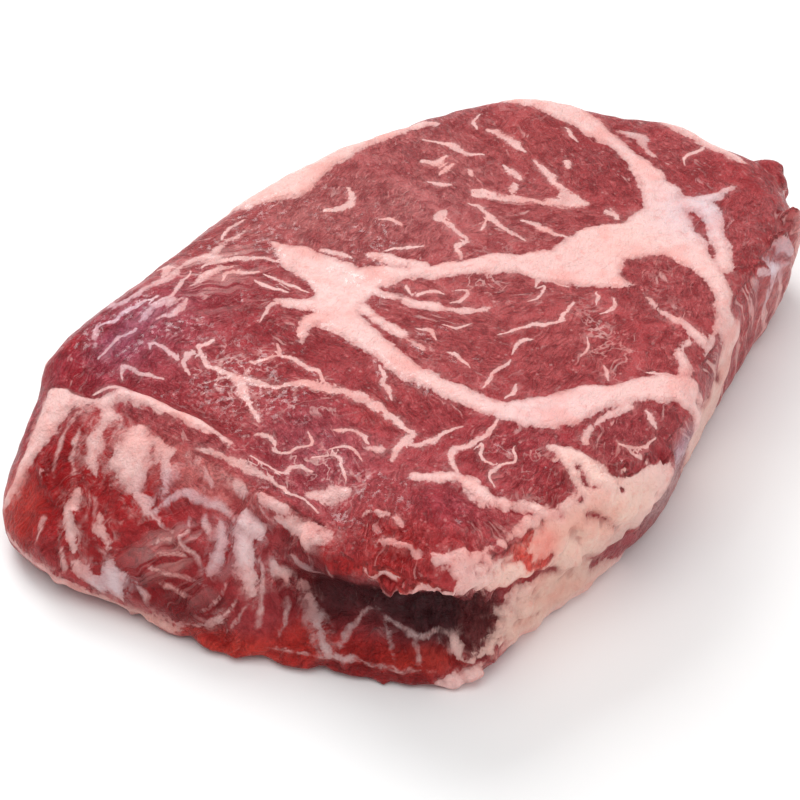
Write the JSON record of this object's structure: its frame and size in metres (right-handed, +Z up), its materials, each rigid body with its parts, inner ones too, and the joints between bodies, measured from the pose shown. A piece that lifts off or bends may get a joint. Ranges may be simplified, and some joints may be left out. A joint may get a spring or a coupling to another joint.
{
  "type": "raw beef steak",
  "caption": "Thick raw beef steak with heavy marbling, branching fat seams, a rolled lip muscle and a flat underside to rest on.",
  "frame": {"origin": "centre of the flat underside's outer box, on the surface that the steak rests on", "axes": "+X along the steak's length, away from the rolled lip muscle; +Y across it, towards the fat cap; +Z up through its thickness"},
  "size_m": [0.196, 0.13, 0.036],
  "materials": {
    "raw_beef": "wet raw beef with pale pink fat seams and fine marbling"
  },
  "bodies": {
    "root": {"beef_steak": "raw_beef"}
  },
  "joints": []
}
